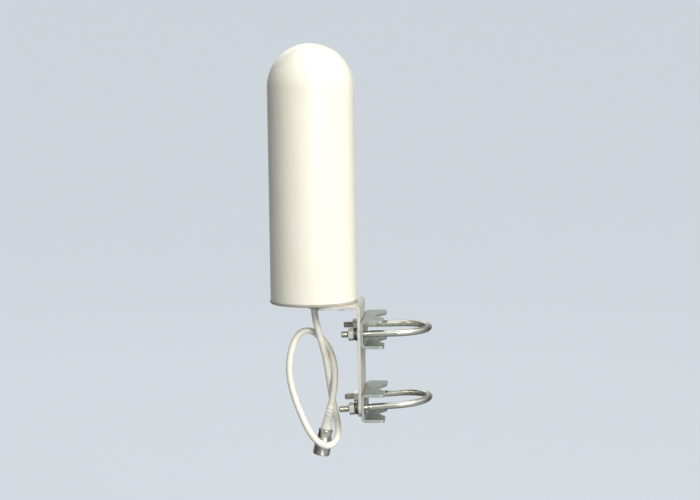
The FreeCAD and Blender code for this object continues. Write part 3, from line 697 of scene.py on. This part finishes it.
def spline(points, first, last, step):
    """Cubic spline through the points with given end tangents, sampled about every `step`."""
    pts = np.array(points, float)
    gaps = np.linalg.norm(np.diff(pts, axis=0), axis=1)
    knots = np.concatenate([[0], np.cumsum(gaps)])
    count = len(pts)
    matrix = np.zeros((count, count))
    right = np.zeros((count, 3))
    matrix[0, 0], matrix[0, 1] = 2 * gaps[0], gaps[0]
    right[0] = 6 * ((pts[1] - pts[0]) / gaps[0] - np.array(first))
    matrix[-1, -1], matrix[-1, -2] = 2 * gaps[-1], gaps[-1]
    right[-1] = 6 * (np.array(last) - (pts[-1] - pts[-2]) / gaps[-1])
    for i in range(1, count - 1):
        before, after = gaps[i - 1], gaps[i]
        matrix[i, i - 1:i + 2] = before, 2 * (before + after), after
        right[i] = 6 * ((pts[i + 1] - pts[i]) / after - (pts[i] - pts[i - 1]) / before)
    curve = np.linalg.solve(matrix, right)  # second derivatives at the points
    samples = []
    pieces = int(knots[-1] / step)
    for k in range(pieces + 1):
        u = knots[-1] * k / pieces
        i = min(np.searchsorted(knots, u, side="right") - 1, count - 2)
        a, b, gap = knots[i + 1] - u, u - knots[i], gaps[i]
        samples.append(Vector(
            (curve[i] * a ** 3 + curve[i + 1] * b ** 3) / (6 * gap)
            + (pts[i] / gap - curve[i] * gap / 6) * a
            + (pts[i + 1] / gap - curve[i + 1] * gap / 6) * b))
    return samples


def pigtail_cable():
    """The sheath, from inside the gland to inside the boot."""
    in_gland = [Vector((AXIS_X, 0, z)) for z in (56.9, 55.8, 54.8)]
    in_boot = [tuple(BOOT_TOP + CON_DIR * depth) for depth in (4.0, 8.0, 12.0)]
    path = in_gland + spline(CABLE_PATH + in_boot, (0, 0, -1), tuple(CON_DIR), step=1.0)
    cols = 40
    verts = []
    normal = Vector((0, -1, 0))
    for i, centre in enumerate(path):
        tangent = (path[min(i + 1, len(path) - 1)] - path[max(i - 1, 0)]).normalized()
        normal = (normal - tangent * normal.dot(tangent)).normalized()
        binormal = tangent.cross(normal)
        # the sheath is not perfectly round or even
        radius = 3.0 + 0.02 * math.sin(i * 0.37) + 0.015 * math.sin(i * 0.11 + 1.0)
        if i < len(in_gland):
            radius = 2.95
        for j in range(cols):
            angle = TAU * j / cols
            r = radius + 0.015 * math.sin(2 * angle + i * 0.05)
            verts.append(around(centre, normal, binormal, r, angle))
    mesh = verts, capped_faces(len(path), cols)
    cable = mesh_object("cable_sheath", mesh, MATERIALS["cable"], node="pigtail_cable", sharp=70)
    tuple(Vector(CABLE_PATH[0]) * MM)
    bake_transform(cable)


pigtail_cable()

# ------------------------------------------------------------------ connector
# Outlines are (radius, distance from the top of the boot).


def connector_boot():
    outline = [(3.05, 0.15), (3.30, 0.0), (3.55, 0.35)]
    for k in range(3):  # grooves, each on a wider ring than the one before
        h = 3.2 + 3.4 * k
        r = 3.62 + 0.16 * k
        outline += [(r, h - 0.9), (r, h - 0.15), (r - 0.26, h + 0.12), (r - 0.28, h + 0.5),
                    (r - 0.24, h + 0.88), (r + 0.04, h + 1.15)]
    outline += [(4.15, 12.6), (4.30, 14.5), (4.55, 16.8), (4.70, 18.6), (4.70, 21.2),
                (4.60, 21.7), (4.35, 22.0), (4.15, 22.0), (4.1, 12.3), (3.06, 12.1)]
    mesh = lathe(outline, on_connector, segments=72)
    mesh_object("boot_moulding", mesh, MATERIALS["boot"], "pigtail", "connector_boot", sharp=50)


def connector_rear_nut():
    """A collar with two spanner flats."""
    flat_start, flat_end, half_width = 24.2, 28.55, 5.9
    outline = [
        (1.6, 22.05), (5.4, 22.05), (5.75, 22.15), (6.45, 22.85), (6.6, 23.1), (6.6, 24.15),
        (6.6, 24.2), (6.6, 25.5), (6.6, 27.0), (6.6, 28.55), (6.6, 28.6), (6.6, 29.3),
        (6.45, 29.55), (6.1, 29.95), (1.6, 29.95),
    ]

    def place(p):
        if flat_start <= p.z <= flat_end and abs(p.x) > half_width:
            p = Vector((math.copysign(half_width, p.x), p.y, p.z))
        return on_connector(p)

    mesh = lathe(outline, place, segments=144)
    mesh_object("socket_rear_nut", mesh, MATERIALS["nickel"], "pigtail", "connector_rear_nut",
                sharp=28)


def connector_body():
    """Shoulder, undercut, then a 5/8-24 thread up to the open mouth."""
    pitch = 25.4 / 24
    crest_r, lead_r = 7.94, 7.05
    thread_start, thread_end, lead_end = 35.9, 45.75, 45.8
    shoulder = [
        (4.1, 33.0), (1.6, 33.0), (1.6, 30.05), (6.2, 30.05), (6.3, 30.15), (6.3, 31.15),
        (7.3, 31.2), (7.55, 31.3), (7.86, 31.65), (7.94, 31.9), (7.94, 33.5), (7.85, 33.75),
        (6.95, 34.15), (6.9, 34.4), (6.9, 35.5), (7.0, 35.7),
    ]
    mouth = [
        (7.25, 45.95), (6.95, 46.15), (6.75, 46.2), (6.35, 46.2), (6.2, 46.05), (6.2, 37.5),
        (6.1, 37.4), (4.2, 37.4), (4.1, 37.3),
    ]

    def thread_radius(h):
        lead = min(1.0, (h - thread_start) / 0.9, (lead_end - h) / 0.6)
        limit = lead_r + max(0.0, lead) * (crest_r - lead_r)
        return lambda angle: min(crest_r - 0.62 * thread_wave(h / pitch - angle / TAU), limit)

    thread = []
    h = thread_start
    while h < thread_end:
        thread.append((thread_radius(h), h))
        h += pitch / 12
    mesh = lathe(shoulder + thread + mouth, on_connector, segments=144)
    mesh_object("socket_body", mesh, MATERIALS["nickel"], "pigtail", "connector_body", sharp=50)


connector_boot()
connector_rear_nut()
connector_body()

# ------------------------------------------------------------------ stage
FLOOR_Z, FLAT_R, WALL_R, WALL_TOP_Z = -360.0, 3200.0, 5200.0, 4000.0


def studio_paper():
    """Glows for the camera, dull grey for every other ray."""
    shade = Shade("studio_paper")
    paper = shade.mix(shade.noise(6.0), (0.74, 0.775, 0.80), (0.78, 0.81, 0.835))
    shade.bumps([(shade.noise(900.0, detail=2.0), 0.05, 0.0002)])
    seen = shade.node("ShaderNodeLightPath").outputs["Is Camera Ray"]
    darken, glow = 0.91, 0.70
    seen_color = shade.mix(darken, paper, (0.0, 0.0, 0.0))
    return shade.finish(
        Base_Color=shade.mix(seen, (0.30, 0.32, 0.34), seen_color), Roughness=0.9,
        Emission_Color=(0.80, 0.87, 0.93), Emission_Strength=shade.math("MULTIPLY", seen, glow))


def studio_floor():
    """A round floor that curves up into a wall, with a 1 mm hole at its centre."""
    segments = 96
    curve_r = WALL_R - FLAT_R
    rows = [(r, FLOOR_Z) for r in (1.0, 800.0, 1600.0, 2400.0, FLAT_R)]
    for i in range(1, 17):
        angle = math.pi / 2 * i / 16
        rows.append((FLAT_R + curve_r * math.sin(angle), FLOOR_Z + curve_r * (1 - math.cos(angle))))
    rows.append((WALL_R, WALL_TOP_Z))
    verts = [(r * math.cos(TAU * j / segments), r * math.sin(TAU * j / segments), z)
             for r, z in rows for j in range(segments)]
    mesh = verts, grid_faces(len(rows), segments)
    stage = mesh_object("studio_floor", mesh, studio_paper())
    stage.visible_glossy = False


studio_floor()

# ------------------------------------------------------------------ lights (metres, watts)
scene = bpy.context.scene


def area(name, pos, size, power, color, aim=(-0.045, 0.0, 0.105)):
    lamp = bpy.data.lights.new(name, "AREA")
    lamp.shape = "RECTANGLE"
    lamp.size, lamp.size_y = size
    lamp.energy = power
    lamp.color = color
    made = bpy.data.objects.new(name, lamp)
    made.location = pos
    made.rotation_mode = "QUATERNION"
    made.rotation_quaternion = (Vector(aim) - Vector(pos)).to_track_quat("-Z", "Y")
    scene.collection.objects.link(made)


area("key", pos=(1.38, -1.88, 1.22), size=(1.1, 1.1), power=65.0, color=(1.0, 0.975, 0.93))
area("front", pos=(0.70, -2.5, 0.7), size=(0.9, 1.5), power=14.0, color=(1.0, 0.98, 0.95))
area("rim", pos=(-0.9, 2.4, 1.5), size=(1.4, 1.4), power=7.0, color=(0.95, 0.97, 1.0))
area("floor_wash", pos=(0.0, 0.6, 3.6), size=(3.0, 3.0), power=42.0, color=(0.96, 0.98, 1.0),
     aim=(0.0, 0.6, -0.4))

# ------------------------------------------------------------------ world


def build_world():
    """Even soft light, but a shaped pattern of bright and dark in reflections."""
    world = bpy.data.worlds.new("studio")
    scene.world = world
    world.use_nodes = True
    graph = Graph(world.node_tree)
    output = graph.node("ShaderNodeOutputWorld")
    soft = graph.node("ShaderNodeBackground", {"Color": (0.92, 0.95, 1.0), "Strength": 0.74})
    glint = graph.node("ShaderNodeBackground", {"Strength": 1.0})
    is_glossy = graph.node("ShaderNodeLightPath").outputs["Is Glossy Ray"]
    inputs = {0: is_glossy, 1: soft.outputs[0], 2: glint.outputs[0]}
    graph.fill(output, {0: graph.node("ShaderNodeMixShader", inputs).outputs[0]})
    view = graph.node("ShaderNodeTexCoord").outputs["Generated"]

    def ramp_along(direction, stops):
        """stops: (0 facing away from direction .. 1 facing along it, brightness)."""
        dot = graph.node("ShaderNodeVectorMath", {0: view, 1: direction},
                         operation="DOT_PRODUCT").outputs["Value"]
        to_unit = graph.node("ShaderNodeMath", {0: dot, 1: 0.5, 2: 0.5},
                             operation="MULTIPLY_ADD").outputs[0]
        return graph.ramp(to_unit, stops, interpolation="EASE")

    height = ramp_along((0, 0, 1), [(0.0, 0.42), (0.40, 0.34), (0.49, 0.10), (0.55, 0.12),
                                    (0.66, 0.55), (0.80, 0.95), (1.0, 0.7)])
    side = ramp_along((0.66, -0.75, 0.0), [(0.0, 0.34), (0.17, 0.10), (0.38, 0.27),
                                           (0.56, 0.34), (0.80, 0.95), (1.0, 1.0)])
    pattern = graph.mix(1.0, height, side, blend="MULTIPLY")
    cool_gain = (1.5, 1.55, 1.6)
    pattern = graph.mix(1.0, pattern, cool_gain, blend="MULTIPLY")
    behind = ramp_along((0, 1, 0), [(0.0, 0.0), (0.90, 0.0), (0.97, 0.30), (1.0, 0.42)])
    graph.fill(glint, {"Color": graph.mix(1.0, pattern, behind, blend="ADD")})


build_world()
scene.view_settings.view_transform = "Standard"
scene.view_settings.look = "None"
scene.view_settings.exposure = 0.0

# ------------------------------------------------------------------ camera
# Degrees: azimuth from -Y towards +X, elevation, roll about the view axis
AZIMUTH, ELEVATION, ROLL = 4.2, 6.3, 0.86
DISTANCE = 1.526  # metres from the target
TARGET = Vector((-0.0455, 0.0, 0.1045))  # metres


def build_camera():
    azimuth, elevation = math.radians(AZIMUTH), math.radians(ELEVATION)
    back = Vector((math.sin(azimuth) * math.cos(elevation),
                   -math.cos(azimuth) * math.cos(elevation), math.sin(elevation)))
    data = bpy.data.cameras.new("camera")
    data.sensor_width = 36.0
    data.lens = 87.7
    data.clip_start, data.clip_end = 0.05, 60.0
    camera = bpy.data.objects.new("camera", data)
    camera.location = TARGET + back * DISTANCE
    camera.rotation_mode = "QUATERNION"
    camera.rotation_quaternion = (-back).to_track_quat("-Z", "Y")
    roll = Matrix.Rotation(math.radians(-ROLL), 4, "Z").to_quaternion()
    camera.rotation_quaternion = camera.rotation_quaternion @ roll
    scene.collection.objects.link(camera)
    scene.camera = camera


build_camera()
